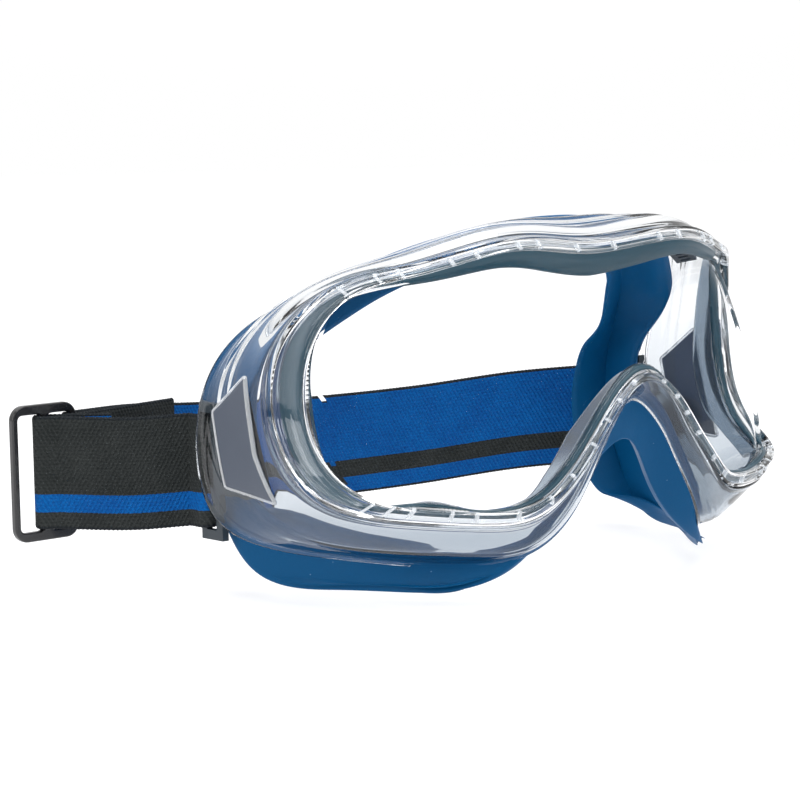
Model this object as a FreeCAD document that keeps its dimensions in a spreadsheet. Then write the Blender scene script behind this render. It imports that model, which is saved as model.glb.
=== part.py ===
import FreeCAD
import Part
import Sketcher
import math
import os

os.makedirs("parts", exist_ok=True)
doc = FreeCAD.newDocument("SafetyGoggles")
Vector = FreeCAD.Vector

# Driving sizes in millimetres and degrees. The frame's origin is at the centre of the face opening,
# +X towards the wearer's left, +Y towards the back of the head and +Z up.
sizes = {
    "goggle_half_width": 86,
    "goggle_depth": 93,
    "goggle_height": 97,
    "lens_wall": 1.6,
    "lens_gap": 1.5,
    "lens_side_bulge": 5.0,
    "lens_centre_bulge": 1.5,
    "rim_wall": 2.6,
    "gasket_drop": 1.1,
    "gasket_wall": 1.0,
    "gasket_lap": 0.5,
    "shell_wall": 1.8,
    "shell_step": 0.45,
    "seal_wall": 1.2,
    "fit_gap": 0.3,
    "seal_tongue_share": 0.4,
    "seal_bulge": 2.0,
    "seal_lip": 7.0,
    "strap_pocket": 7.2,
    "panel_wall": 1.2,
    "panel_clearance": 0.1,
    "pivot_y": 2,
    "pivot_z": -13,
    "pin_radius": 2.5,
    "pin_head_radius": 4.2,
    "pin_head_wall": 0.8,
    "pin_clearance": 0.06,
    "clip_wall": 2.0,
    "sketch_start": 0.001,
    "clip_inset": 3.5,
    "pin_hold": 1.0,
    "clip_reach": 20,
    "clip_bar": 2.0,
    "clip_slot": 4.2,
    "clip_frame": 2.6,
    "clip_boss_radius": 5.5,
    "strap_width": 30,
    "strap_wall": 1.4,
    "strap_slack": 0.1,
    "strap_margin": 0.6,
    "strap_end_leg": 4.0,
    "slider_width": 20.4,
    "slider_wall": 2.0,
    "slider_bar": 1.8,
    "slider_frame": 2.6,
    "slider_corner": 4.0,
    "slider_x": -111.5,
    "slider_y": 52,
    "loop_depth": 62,
    "loop_shift": 2,
    "loop_turn": 4,
    "loop_drop": 17,
    "strap_end_gap": 0.07,
    "tail_length": 18,
    "sewn_length": 38,
    "vent_width": 15,
    "vent_height": 6,
    "vent_wall": 2.0,
    "vent_drop": 1.4,
    "vent_slot": 1.6,
    "vent_pitch": 3.4,
    "vent_count": 4,
}
sheet = doc.addObject("Spreadsheet::Sheet", "Sizes")
for row, (alias, value) in enumerate(sizes.items(), start=1):
    sheet.set("A%d" % row, alias.replace("_", " "))
    sheet.set("B%d" % row, str(value))
    sheet.setAlias("B%d" % row, alias)
doc.recompute()


def size(alias):
    return float(sheet.get(alias))


# Half outlines from the top centre, round the wearer's left side, to the bridge of the nose.
# Each station is a share of the half width, the depth and the height.
window_outline = [
    (0.000, -0.495, 0.433),
    (0.209, -0.511, 0.448),
    (0.419, -0.511, 0.448),
    (0.651, -0.419, 0.397),
    (0.814, -0.301, 0.340),
    (0.919, -0.220, 0.216),
    (0.942, -0.231, 0.046),
    (0.916, -0.290, -0.082),
    (0.878, -0.409, -0.139),
    (0.767, -0.538, -0.173),
    (0.605, -0.602, -0.188),
    (0.444, -0.640, -0.186),
    (0.337, -0.667, -0.132),
    (0.233, -0.677, -0.031),
    (0.128, -0.683, 0.067),
    (0.000, -0.683, 0.124),
]
rim_outline = [
    (0.000, -0.468, 0.469),
    (0.209, -0.484, 0.485),
    (0.430, -0.484, 0.485),
    (0.674, -0.387, 0.433),
    (0.849, -0.258, 0.381),
    (0.953, -0.129, 0.237),
    (0.971, -0.097, 0.041),
    (0.959, -0.194, -0.124),
    (0.919, -0.339, -0.193),
    (0.779, -0.500, -0.223),
    (0.605, -0.586, -0.239),
    (0.430, -0.624, -0.233),
    (0.314, -0.656, -0.155),
    (0.198, -0.667, -0.041),
    (0.110, -0.672, 0.052),
    (0.000, -0.669, 0.103),
]
ridge_outline = [
    (0.000, -0.387, 0.515),
    (0.209, -0.398, 0.526),
    (0.430, -0.376, 0.515),
    (0.663, -0.258, 0.448),
    (0.860, -0.097, 0.361),
    (0.977, 0.022, 0.206),
    (1.000, 0.065, 0.021),
    (0.988, -0.011, -0.175),
    (0.919, -0.161, -0.278),
    (0.767, -0.366, -0.335),
    (0.593, -0.484, -0.345),
    (0.413, -0.586, -0.314),
    (0.291, -0.640, -0.222),
    (0.190, -0.647, -0.093),
    (0.105, -0.645, 0.005),
    (0.000, -0.634, 0.057),
]
rear_outline = [
    (0.000, -0.323, 0.526),
    (0.209, -0.323, 0.526),
    (0.430, -0.269, 0.490),
    (0.651, -0.129, 0.407),
    (0.849, 0.022, 0.304),
    (0.959, 0.129, 0.186),
    (1.000, 0.194, 0.000),
    (0.994, 0.151, -0.227),
    (0.907, 0.032, -0.320),
    (0.767, -0.172, -0.366),
    (0.581, -0.344, -0.381),
    (0.401, -0.516, -0.351),
    (0.285, -0.591, -0.273),
    (0.180, -0.602, -0.149),
    (0.102, -0.597, -0.046),
    (0.000, -0.586, 0.015),
]
face_outline = [
    (0.000, -0.290, 0.536),
    (0.209, -0.258, 0.521),
    (0.430, -0.151, 0.464),
    (0.581, -0.043, 0.402),
    (0.721, 0.075, 0.314),
    (0.849, 0.199, 0.196),
    (0.895, 0.280, 0.031),
    (0.895, 0.258, -0.186),
    (0.872, 0.118, -0.402),
    (0.756, -0.118, -0.448),
    (0.605, -0.312, -0.448),
    (0.465, -0.457, -0.433),
    (0.337, -0.484, -0.366),
    (0.233, -0.495, -0.268),
    (0.134, -0.538, -0.160),
    (0.000, -0.575, -0.067),
]
# How much of the strap pocket each station of the seal gives way for.
pocket_share = [0, 0, 0, 0, 0.4, 0.9, 1, 1, 0.8, 0.3, 0, 0, 0, 0, 0, 0]
lip_share = [0.8, 0.8, 0.6, 0.5, 0.5, 0.7, 0.9, 0.9, 0.7, 0.7, 0.7, 0.6, 0.6, 0.6, 0.6, 0.6]
lip_lean = [1.2, 0.8, 0.2, 0, 0, 0, 0, 0.2, 0.7, 1.5, 3, 3, 3, 3, 2, 2]
bulge_share = [0, 0.3, 1, 1, 0.6, 0.1, 0, 0, 0.2, 0.7, 0.6, 0, 0, 0, 0, 0]


def fullRing(half_outline):
    half = []
    for across, back, up in half_outline:
        x = across * size("goggle_half_width")
        y = back * size("goggle_depth")
        z = up * size("goggle_height")
        half.append(Vector(x, y, z))
    mirrored = [Vector(-p.x, p.y, p.z) for p in half[-2:0:-1]]
    return half + mirrored


def normals(rings):
    # Outward normal at each station of a grid of rings that runs from the front to the back.
    count = len(rings[0])
    grid = []
    for i, ring in enumerate(rings):
        row = []
        for j in range(count):
            along = ring[(j + 1) % count] - ring[j - 1]
            across = rings[min(i + 1, len(rings) - 1)][j] - rings[max(i - 1, 0)][j]
            normal = along.cross(across)
            normal.normalize()
            row.append(normal)
        grid.append(row)
    return grid


def offsetRings(rings, distance):
    grid = normals(rings)
    return [[p + n * distance for p, n in zip(ring, row)] for ring, row in zip(rings, grid)]


def ringWire(points):
    curve = Part.BSplineCurve()
    curve.interpolate(Points=points, PeriodicFlag=True)
    return Part.Wire(curve.toShape())


def closedSolid(faces):
    shell = Part.makeShell(faces)
    shell.sewShape()
    solid = Part.Solid(Part.Shell(shell.Faces))
    if solid.Volume < 0:
        solid.reverse()
    return solid


def bandSolid(outer_rings, inner_rings):
    outer_wires = [ringWire(ring) for ring in outer_rings]
    inner_wires = [ringWire(ring) for ring in inner_rings]
    faces = Part.makeLoft(outer_wires, False, True).Faces
    faces += Part.makeLoft(inner_wires, False, True).Faces
    for end in (0, -1):
        edge_pair = (outer_wires[end].Edges[0], inner_wires[end].Edges[0])
        faces += Part.makeRuledSurface(*edge_pair).Faces
    return closedSolid(faces)


def addFeature(label, shape):
    feature = doc.addObject("Part::Feature", label)
    feature.Label = label
    feature.Shape = shape
    feature.Placement = FreeCAD.Placement()
    return feature


window_ring = fullRing(window_outline)
rim_ring = fullRing(rim_outline)
ridge_ring = fullRing(ridge_outline)
rear_ring = fullRing(rear_outline)
face_ring = fullRing(face_outline)


# Depths below the rim's face of the gasket's front and of the shell's seat.
gasket_depth = size("rim_wall") + size("gasket_drop")
seat_depth = gasket_depth + size("gasket_wall") + size("fit_gap")


def insetRing(ring, distance):
    # Moves a ring towards its own middle, square to its outline as seen from the front.
    count = len(ring)
    moved = []
    for j in range(count):
        along = ring[(j + 1) % count] - ring[j - 1]
        inward = Vector(along.z, 0, -along.x)
        inward.normalize()
        moved.append(ring[j] + inward * distance)
    return moved


def between(first, second, share):
    return [a + (b - a) * share for a, b in zip(first, second)]


def ventRim():
    front = [window_ring, rim_ring]
    return bandSolid(front, offsetRings(front, -size("rim_wall")))


def lensGasket():
    lap = size("gasket_lap")
    front = [between(window_ring, rim_ring, -lap), between(window_ring, rim_ring, lap)]
    top = offsetRings(front, -gasket_depth)
    return bandSolid(top, offsetRings(top, -size("gasket_wall")))


def shellRings():
    seat = offsetRings([between(window_ring, rim_ring, -size("gasket_lap")), rim_ring], -seat_depth)
    step = between(rim_ring, ridge_ring, size("shell_step"))
    return [seat[0], seat[1], step, ridge_ring, rear_ring]


def visorShell():
    outer = shellRings()
    shell = bandSolid(outer, offsetRings(outer, -size("shell_wall")))
    for side in (-1, 1):
        start = Vector(0, size("pivot_y"), size("pivot_z"))
        bore = Part.makeCylinder(size("pin_radius"), 2 * size("goggle_half_width"), start, Vector(side, 0, 0))
        shell = shell.cut(bore)
    return shell


def faceSeal():
    # A tongue inside the shell's rear edge, a soft bulge, the face edge and a lip turned inwards.
    count = len(rear_ring)
    share = pocket_share + pocket_share[-2:0:-1]
    normal_row = normals([ridge_ring, rear_ring])[1]
    root = []
    tongue = []
    for j in range(count):
        inset = size("shell_wall") + size("fit_gap") + share[j] * size("strap_pocket")
        point = rear_ring[j] - normal_row[j] * inset
        forward = ridge_ring[j] - rear_ring[j]
        root.append(point)
        tongue.append(point + forward * size("seal_tongue_share") - normal_row[j] * size("fit_gap"))
    swell = [size("seal_bulge") * part for part in bulge_share + bulge_share[-2:0:-1]]
    bulge = []
    for point, normal, height in zip(between(root, face_ring, 0.5), normal_row, swell):
        bulge.append(point + normal * height)
    width = [size("seal_lip") * part for part in lip_share + lip_share[-2:0:-1]]
    lean = lip_lean + lip_lean[-2:0:-1]
    lip = []
    for j, point in enumerate(insetRing(face_ring, 1)):
        direction = point - face_ring[j] + Vector(0, lean[j], 0)
        lip.append(face_ring[j] + direction * width[j] / direction.Length)
    outer = [tongue, root, bulge, face_ring, lip]
    return bandSolid(outer, offsetRings(outer, -size("seal_wall")))


def ringPoint(ring, place):
    # A point on the ring's curve at a whole or part station.
    curve = Part.BSplineCurve()
    curve.interpolate(Points=ring, PeriodicFlag=True)
    knots = curve.getKnots()
    first = int(place)
    share = place - first
    return curve.value(knots[first] * (1 - share) + knots[first + 1] * share)


# Stations of the window's outline that face each other across the lens, above and below.
lens_sections = [(0, 15), (0.6, 14), (1.1, 13), (1.65, 12), (2.1, 11), (2.8, 10), (3.65, 9), (4.3, 8.5)]
lens_side = [5, 5.75, 6.5, 7.25, 8]
corner_share = 0.55
corner_push = Vector(1, -0.5, 0)


def lensGrid():
    ring = insetRing(window_ring, size("lens_gap"))
    steps = len(lens_side)
    half = []
    for above, below in lens_sections:
        high = ringPoint(ring, above)
        low = ringPoint(ring, below)
        reach = abs(low.x) / size("goggle_half_width")
        bulge = size("lens_centre_bulge") + (size("lens_side_bulge") - size("lens_centre_bulge")) * reach ** 2
        column = []
        for k in range(steps):
            share = k / (steps - 1)
            forward = Vector(0, -bulge * math.sin(math.pi * share), 0)
            column.append(high + (low - high) * share + forward)
        half.append(column)
    side_column = [ringPoint(ring, place) for place in lens_side]
    half.append([a + (b - a) * corner_share + corner_push for a, b in zip(half[-1], side_column)])
    half.append(side_column)
    mirrored = [[Vector(-p.x, p.y, p.z) for p in column] for column in half[:0:-1]]
    return mirrored + half


def lensPane():
    front = lensGrid()
    back = []
    wide = len(front)
    tall = len(front[0])
    for i in range(wide):
        column = []
        for k in range(tall):
            across = front[min(i + 1, wide - 1)][k] - front[max(i - 1, 0)][k]
            down = front[i][min(k + 1, tall - 1)] - front[i][max(k - 1, 0)]
            normal = across.cross(down)
            normal.normalize()
            column.append(front[i][k] + normal * size("lens_wall"))
        back.append(column)
    surfaces = []
    for grid in (front, back):
        surface = Part.BSplineSurface()
        surface.interpolate(grid)
        surfaces.append(surface)
    faces = [surface.toShape() for surface in surfaces]
    spans = [surface.bounds() for surface in surfaces]
    for end in (0, 1):
        faces.append(Part.makeRuledSurface(surfaces[0].uIso(spans[0][end]).toShape(),
                                           surfaces[1].uIso(spans[1][end]).toShape()))
        faces.append(Part.makeRuledSurface(surfaces[0].vIso(spans[0][end + 2]).toShape(),
                                           surfaces[1].vIso(spans[1][end + 2]).toShape()))
    return closedSolid(faces)


# Outline of the right temple panel from the pivot: back and up, from its top corner round.
panel_outline = [(-4.6, 27), (9, 17), (4.5, -2.5), (-13.9, -5), (-7.9, 7), (-5.9, 18)]


def templePanel(side):
    outer = offsetRings(shellRings()[2:], size("panel_clearance"))
    band = bandSolid(offsetRings(outer, size("panel_wall")), outer)
    corners = [Vector(0, size("pivot_y") + y, size("pivot_z") + z) for y, z in panel_outline]
    prism = Part.Face(Part.makePolygon(corners + corners[:1]))
    prism = prism.extrude(Vector(side * 2 * size("goggle_half_width"), 0, 0))
    return band.common(prism)


addFeature("visor_shell", visorShell())
addFeature("vent_rim", ventRim())
addFeature("lens_gasket", lensGasket())
addFeature("lens", lensPane())
addFeature("face_seal", faceSeal())
addFeature("right_temple_panel", templePanel(-1))
addFeature("left_temple_panel", templePanel(1))


# Webbing. A fold is half a turn round a bar with two legs, and a run is flat between two points.
def webFold(centre, legs, radius, first_leg, second_leg):
    across = Vector(-legs.y, legs.x, 0)
    outer_radius = radius + size("strap_wall")
    corners = []
    for reach, turn in ((radius, 1), (outer_radius, 1)):
        corners.append([
            centre + across * reach + legs * first_leg,
            centre + across * reach,
            centre - legs * reach,
            centre - across * reach,
            centre - across * reach + legs * second_leg,
        ])
    inner, outer = corners
    edges = [
        Part.LineSegment(inner[0], inner[1]).toShape(),
        Part.Arc(inner[1], inner[2], inner[3]).toShape(),
        Part.LineSegment(inner[3], inner[4]).toShape(),
        Part.LineSegment(inner[4], outer[4]).toShape(),
        Part.LineSegment(outer[4], outer[3]).toShape(),
        Part.Arc(outer[3], outer[2], outer[1]).toShape(),
        Part.LineSegment(outer[1], outer[0]).toShape(),
        Part.LineSegment(outer[0], inner[0]).toShape(),
    ]
    return Part.Face(Part.Wire(edges)).extrude(Vector(0, 0, size("strap_width")))


run_steps = 12


def webRun(points):
    # A strip along a smooth line through the points, half its wall to each side.
    line = Part.BSplineCurve()
    line.interpolate(points)
    steps = run_steps * (len(points) - 1)
    sides = []
    first, last = line.FirstParameter, line.LastParameter
    for offset in (-size("strap_wall") / 2, size("strap_wall") / 2):
        row = []
        for k in range(steps + 1):
            place = first + (last - first) * k / steps
            along = line.tangent(place)[0]
            row.append(line.value(place) + Vector(-along.y, along.x, 0) * offset)
        curve = Part.BSplineCurve()
        curve.interpolate(row)
        sides.append((curve.toShape(), row))
    (near_edge, near), (far_edge, far) = sides
    start = Part.LineSegment(near[0], far[0]).toShape()
    end = Part.LineSegment(near[-1], far[-1]).toShape()
    face = Part.Face(Part.Wire([near_edge, end, far_edge, start]))
    return face.extrude(Vector(0, 0, size("strap_width")))


strap_base = size("pivot_z") - size("strap_width") / 2
clip_x = size("goggle_half_width") - size("shell_wall") - size("clip_inset")
clip_fold_radius = math.hypot(size("clip_bar"), size("clip_wall")) / 2 + size("strap_slack")
slider_fold_radius = math.hypot(size("slider_bar"), size("slider_wall")) / 2 + size("strap_slack")
half_wall = size("strap_wall") / 2
bar_y = size("pivot_y") + size("clip_reach")


def level(x, y):
    return Vector(x, y, strap_base)


for side, name in ((-1, "right"), (1, "left")):
    # The leg on the outside carries on as the strap, and the inner leg is the sewn-down end.
    outer_first = size("strap_end_leg")
    fold = webFold(level(side * clip_x, bar_y), Vector(0, 1, 0), clip_fold_radius, outer_first, outer_first)
    addFeature(name + "_strap_loop", fold)

# Right strap: straight from the right clip to the middle bar of the slider.
temple_start = level(-clip_x - clip_fold_radius - half_wall, bar_y + size("strap_end_leg"))
middle_bar = level(size("slider_x"), size("slider_y"))
reach = temple_start - middle_bar
lean = math.asin((slider_fold_radius + half_wall) / reach.Length)
turn = FreeCAD.Rotation(Vector(0, 0, 1), math.degrees(lean))
right_legs = turn.multVec(reach)
right_legs.normalize()
across = Vector(-right_legs.y, right_legs.x, 0)
right_end = middle_bar - across * (slider_fold_radius + half_wall) + right_legs * size("strap_end_leg")
start_gap = right_legs * half_wall
end_gap = right_legs * size("strap_end_gap")
addFeature("right_strap", webRun([temple_start - start_gap, right_end + end_gap]))
tail = webFold(middle_bar, right_legs, slider_fold_radius, size("tail_length"), size("strap_end_leg"))
addFeature("strap_tail", tail)

# Left strap: sewn round the slider's inner bar, then round behind the head to the left clip.
inner_bar = level(size("slider_x") + (size("slider_width") - size("slider_bar")) / 2, size("slider_y"))
back_of_head = size("loop_depth")
# Direction of the sewn end and places of the loop's bends as shares of the goggle's half width.
sewn_direction = (4.9, 1, 0)
loop_shares = [-0.65, -0.2, 0.3, 0.68]
left_legs = Vector(*sewn_direction)
left_legs.normalize()
left_across = Vector(-left_legs.y, left_legs.x, 0)
left_start = inner_bar + left_across * (slider_fold_radius + half_wall) + left_legs * size("strap_end_leg")
left_end = level(clip_x + clip_fold_radius + half_wall, bar_y + size("strap_end_leg"))
half_width = size("goggle_half_width")
left_route = [
    left_start + left_legs * size("strap_end_gap"),
    level(loop_shares[0] * half_width, back_of_head),
    level(loop_shares[1] * half_width, back_of_head + size("loop_shift")),
    level(loop_shares[2] * half_width, back_of_head - size("loop_turn")),
    level(loop_shares[3] * half_width, back_of_head - size("loop_drop")),
    left_end + Vector(-half_wall, half_wall, 0),
]
addFeature("left_strap", webRun(left_route))
sewn = webFold(inner_bar, left_legs, slider_fold_radius, size("strap_end_leg"), size("sewn_length"))
addFeature("strap_sewn_end", sewn)


# Moulded pieces as bodies.
def newBody(label):
    body = doc.addObject("PartDesign::Body", label)
    body.Label = label
    return body


def newSketch(body, name):
    sketch = body.newObject("Sketcher::SketchObject", name)
    planes = [feature for feature in body.Origin.OriginFeatures if feature.Role == "XY_Plane"]
    sketch.AttachmentSupport = (planes[0], [""])
    sketch.MapMode = "FlatFace"
    return sketch


def bindRectangle(sketch, left, low, width, height):
    # Left and low are expressions for the near corner, width and height for the sides.
    first = sketch.GeometryCount
    corners = [Vector(0, 0, 0), Vector(1, 0, 0), Vector(1, 1, 0), Vector(0, 1, 0)]
    for k in range(4):
        sketch.addGeometry(Part.LineSegment(corners[k], corners[(k + 1) % 4]), False)
    for k in range(4):
        joined = Sketcher.Constraint("Coincident", first + k, 2, first + (k + 1) % 4, 1)
        sketch.addConstraint(joined)
    for k, kind in enumerate(("Horizontal", "Vertical", "Horizontal", "Vertical")):
        sketch.addConstraint(Sketcher.Constraint(kind, first + k))
    bound = (
        (Sketcher.Constraint("DistanceX", first, 1, first, 2, 1.0), width),
        (Sketcher.Constraint("DistanceY", first + 1, 1, first + 1, 2, 1.0), height),
        (Sketcher.Constraint("DistanceX", -1, 1, first, 1, 1.0), left),
        (Sketcher.Constraint("DistanceY", -1, 1, first, 1, 1.0), low),
    )
    for constraint, expression in bound:
        index = sketch.addConstraint(constraint)
        sketch.setExpression("Constraints[%d]" % index, expression)


def bindCircle(sketch, radius):
    index = sketch.addGeometry(Part.Circle(Vector(0, 0, 0), Vector(0, 0, 1), 1.0), False)
    sketch.addConstraint(Sketcher.Constraint("Coincident", index, 3, -1, 1))
    bound = sketch.addConstraint(Sketcher.Constraint("Radius", index, 1.0))
    sketch.setExpression("Constraints[%d]" % bound, radius)


def addPad(body, sketch, length, midplane):
    pad = body.newObject("PartDesign::Pad", sketch.Name + "_pad")
    pad.Profile = sketch
    pad.Midplane = midplane
    pad.setExpression("Length", length)
    sketch.Visibility = False
    doc.recompute()
    return pad


def addPocket(body, sketch):
    before = body.Shape.Volume
    pocket = body.newObject("PartDesign::Pocket", sketch.Name + "_pocket")
    pocket.Profile = sketch
    pocket.Type = 1
    pocket.Midplane = True
    doc.recompute()
    if body.Shape.Volume >= before:
        raise RuntimeError(sketch.Name + " cuts nothing")
    return pocket


temple_turn = FreeCAD.Rotation(Vector(1, 1, 1), 120)
slot_height = "Sizes.strap_width + 2 * Sizes.strap_margin"
frame_height = slot_height + " + 2 * Sizes.clip_frame"


def strapClip(label, side):
    body = newBody(label)
    arm = newSketch(body, label + "_arm")
    reach_to_frame = "Sizes.clip_reach - Sizes.clip_slot - Sizes.clip_bar / 2"
    bindRectangle(arm, "Sizes.sketch_start", "-Sizes.clip_boss_radius", reach_to_frame, "2 * Sizes.clip_boss_radius")
    addPad(body, arm, "Sizes.clip_wall", True)
    boss = newSketch(body, label + "_boss")
    bindCircle(boss, "Sizes.clip_boss_radius")
    addPad(body, boss, "Sizes.clip_wall", True)
    frame = newSketch(body, label + "_frame")
    frame_start = reach_to_frame + " - Sizes.clip_frame"
    frame_length = "Sizes.clip_frame + Sizes.clip_slot + Sizes.clip_bar"
    bindRectangle(frame, frame_start, "-(" + frame_height + ") / 2", frame_length, frame_height)
    addPad(body, frame, "Sizes.clip_wall", True)
    slot = newSketch(body, label + "_slot")
    bindRectangle(slot, reach_to_frame, "-(" + slot_height + ") / 2", "Sizes.clip_slot", slot_height)
    addPocket(body, slot)
    bore = newSketch(body, label + "_bore")
    bindCircle(bore, "Sizes.pin_radius + Sizes.pin_clearance")
    addPocket(body, bore)
    body.Placement = FreeCAD.Placement(Vector(side * clip_x, size("pivot_y"), size("pivot_z")), temple_turn)


def clipPin(label, side):
    # The head lies inside the clip and the shank ends in the shell's wall, under the temple panel.
    body = newBody(label)
    shank = newSketch(body, label + "_shank")
    bindCircle(shank, "Sizes.pin_radius")
    length = "Sizes.clip_wall / 2 + Sizes.clip_inset + Sizes.pin_hold"
    addPad(body, shank, length, False)
    head = newSketch(body, label + "_head")
    bindCircle(head, "Sizes.pin_head_radius")
    pad = addPad(body, head, "Sizes.pin_head_wall", False)
    pad.Reversed = True
    doc.recompute()
    turn_side = temple_turn
    if side < 0:
        turn_side = FreeCAD.Rotation(Vector(0, 0, 1), 180).multiply(temple_turn)
    head_face = clip_x - size("clip_wall") / 2 - size("pin_clearance")
    body.Placement = FreeCAD.Placement(Vector(side * head_face, size("pivot_y"), size("pivot_z")), turn_side)


def strapSlider():
    body = newBody("strap_slider")
    outline = newSketch(body, "slider_outline")
    height = slot_height + " + 2 * Sizes.slider_frame"
    bindRectangle(outline, "-Sizes.slider_width / 2", "-(" + height + ") / 2", "Sizes.slider_width", height)
    plate = addPad(body, outline, "Sizes.slider_wall", True)
    corners = []
    for index, edge in enumerate(body.Shape.Edges, start=1):
        points = [vertex.Point for vertex in edge.Vertexes]
        if abs(points[0].z - points[-1].z) > 0.01:
            corners.append("Edge%d" % index)
    fillet = body.newObject("PartDesign::Fillet", "slider_corners")
    fillet.Base = (plate, corners)
    fillet.setExpression("Radius", "Sizes.slider_corner")
    doc.recompute()
    slots = newSketch(body, "slider_slots")
    slot_width = "(Sizes.slider_width - 3 * Sizes.slider_bar) / 2"
    starts = ("-Sizes.slider_width / 2 + Sizes.slider_bar", "Sizes.slider_bar / 2")
    for start in starts:
        bindRectangle(slots, start, "-(" + slot_height + ") / 2", slot_width, slot_height)
    addPocket(body, slots)
    upright = FreeCAD.Rotation(Vector(1, 0, 0), 90)
    body.Placement = FreeCAD.Placement(Vector(size("slider_x"), size("slider_y"), size("pivot_z")), upright)


def topVent(label, side):
    # A slotted insert under the shell between the rim and the ridge.
    body = newBody(label)
    plate = newSketch(body, label + "_plate")
    bindRectangle(plate, "-Sizes.vent_width / 2", "-Sizes.vent_height / 2", "Sizes.vent_width", "Sizes.vent_height")
    addPad(body, plate, "Sizes.vent_wall", True)
    slot = newSketch(body, label + "_slot")
    first = "-Sizes.vent_pitch * (Sizes.vent_count - 1) / 2 - Sizes.vent_slot / 2"
    bindRectangle(slot, first, "-Sizes.vent_height / 4", "Sizes.vent_slot", "Sizes.vent_height / 2")
    pocket = addPocket(body, slot)
    pattern = body.newObject("PartDesign::LinearPattern", label + "_slots")
    pattern.Originals = [pocket]
    pattern.Direction = (slot, ["H_Axis"])
    pattern.Mode = "Spacing"
    pattern.setExpression("Offset", "Sizes.vent_pitch")
    pattern.setExpression("Occurrences", "Sizes.vent_count")
    body.Tip = pattern
    doc.recompute()
    rings = [ridge_ring, rear_ring]
    station = vent_station if side > 0 else len(rim_ring) - vent_station
    normal = normals(rings)[0][station]
    along = rim_ring[station + 1] - rim_ring[station - 1]
    middle = ridge_ring[station] + (rear_ring[station] - ridge_ring[station]) * vent_share
    depth = size("shell_wall") + size("vent_wall") / 2 + size("vent_drop")
    turn_to_shell = FreeCAD.Rotation(along, Vector(0, 0, 0), normal, "ZXY")
    body.Placement = FreeCAD.Placement(middle - normal * depth, turn_to_shell)


# Station of the top vents and how far they lie behind the ridge.
vent_station = 3
vent_share = 0.15
for side, name in ((-1, "right"), (1, "left")):
    strapClip(name + "_strap_clip", side)
    clipPin(name + "_clip_pin", side)
    topVent(name + "_top_vent", side)
strapSlider()
doc.recompute()

# Every object has to be sound before anything is written.
for item in doc.Objects:
    if "Invalid" in item.State or "Error" in item.State:
        raise RuntimeError(item.Label + " did not compute")
sub_parts = [item for item in doc.Objects if item.TypeId in ("Part::Feature", "PartDesign::Body")]
for item in sub_parts:
    if item.Shape.isNull() or not item.Shape.isValid() or len(item.Shape.Solids) != 1:
        raise RuntimeError(item.Label + " is not one sound solid")
for item in sub_parts:
    item.Shape.exportStep("parts/%s.step" % item.Label)
    print(item.Label, round(item.Shape.Volume, 1), item.Shape.BoundBox)
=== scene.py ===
import bpy
import bmesh
import math
import numpy as np
from mathutils import Matrix, Vector
from mathutils.bvhtree import BVHTree


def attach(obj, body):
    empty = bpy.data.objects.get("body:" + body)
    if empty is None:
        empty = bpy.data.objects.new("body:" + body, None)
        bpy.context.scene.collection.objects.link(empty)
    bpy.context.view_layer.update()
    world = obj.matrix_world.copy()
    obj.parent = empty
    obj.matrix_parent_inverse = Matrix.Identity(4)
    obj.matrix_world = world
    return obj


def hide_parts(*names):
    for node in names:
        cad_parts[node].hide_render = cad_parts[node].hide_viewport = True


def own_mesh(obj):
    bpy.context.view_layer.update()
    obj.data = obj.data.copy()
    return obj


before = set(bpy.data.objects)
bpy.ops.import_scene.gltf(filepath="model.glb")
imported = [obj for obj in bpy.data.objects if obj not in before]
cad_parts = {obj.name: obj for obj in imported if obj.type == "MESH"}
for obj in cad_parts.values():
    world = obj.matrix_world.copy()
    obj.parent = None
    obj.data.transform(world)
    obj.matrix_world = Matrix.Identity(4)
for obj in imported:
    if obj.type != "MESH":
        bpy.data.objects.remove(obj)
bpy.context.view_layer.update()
mm = 0.001
scene = bpy.context.scene


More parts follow.
